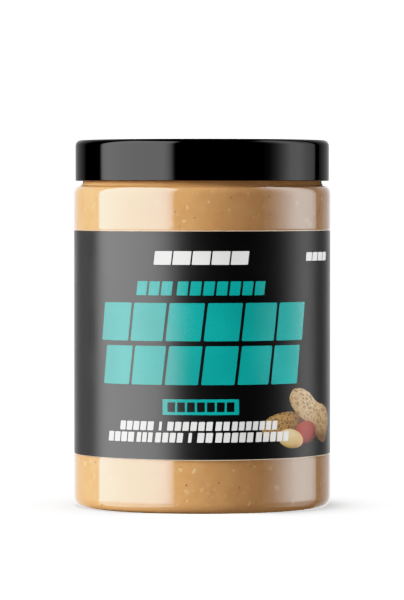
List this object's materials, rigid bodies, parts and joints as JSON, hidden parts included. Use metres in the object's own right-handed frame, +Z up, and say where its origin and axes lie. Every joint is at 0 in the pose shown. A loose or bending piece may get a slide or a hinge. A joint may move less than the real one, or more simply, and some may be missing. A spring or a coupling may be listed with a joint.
{
  "type": "peanut butter jar",
  "caption": "Full clear plastic jar of peanut butter with a wrap-round black film label and a black screw lid, standing upright.",
  "frame": {"origin": "on the jar's axis, on the plane that it stands on", "axes": "+Z up along the jar's axis; the front of the label faces -Y"},
  "size_m": [0.1, 0.1, 0.1422],
  "materials": {
    "clear_pet": "clear blow-moulded PET, glossy",
    "peanut_butter": "smooth oily spread with small nut pieces",
    "label_film": "satin printed film, black ground with teal and white marks",
    "lid_plastic": "glossy black moulded polypropylene"
  },
  "bodies": {
    "root": {"jar": "clear_pet", "peanut_butter": "peanut_butter", "label": "label_film", "lid": "lid_plastic"}
  },
  "joints": []
}
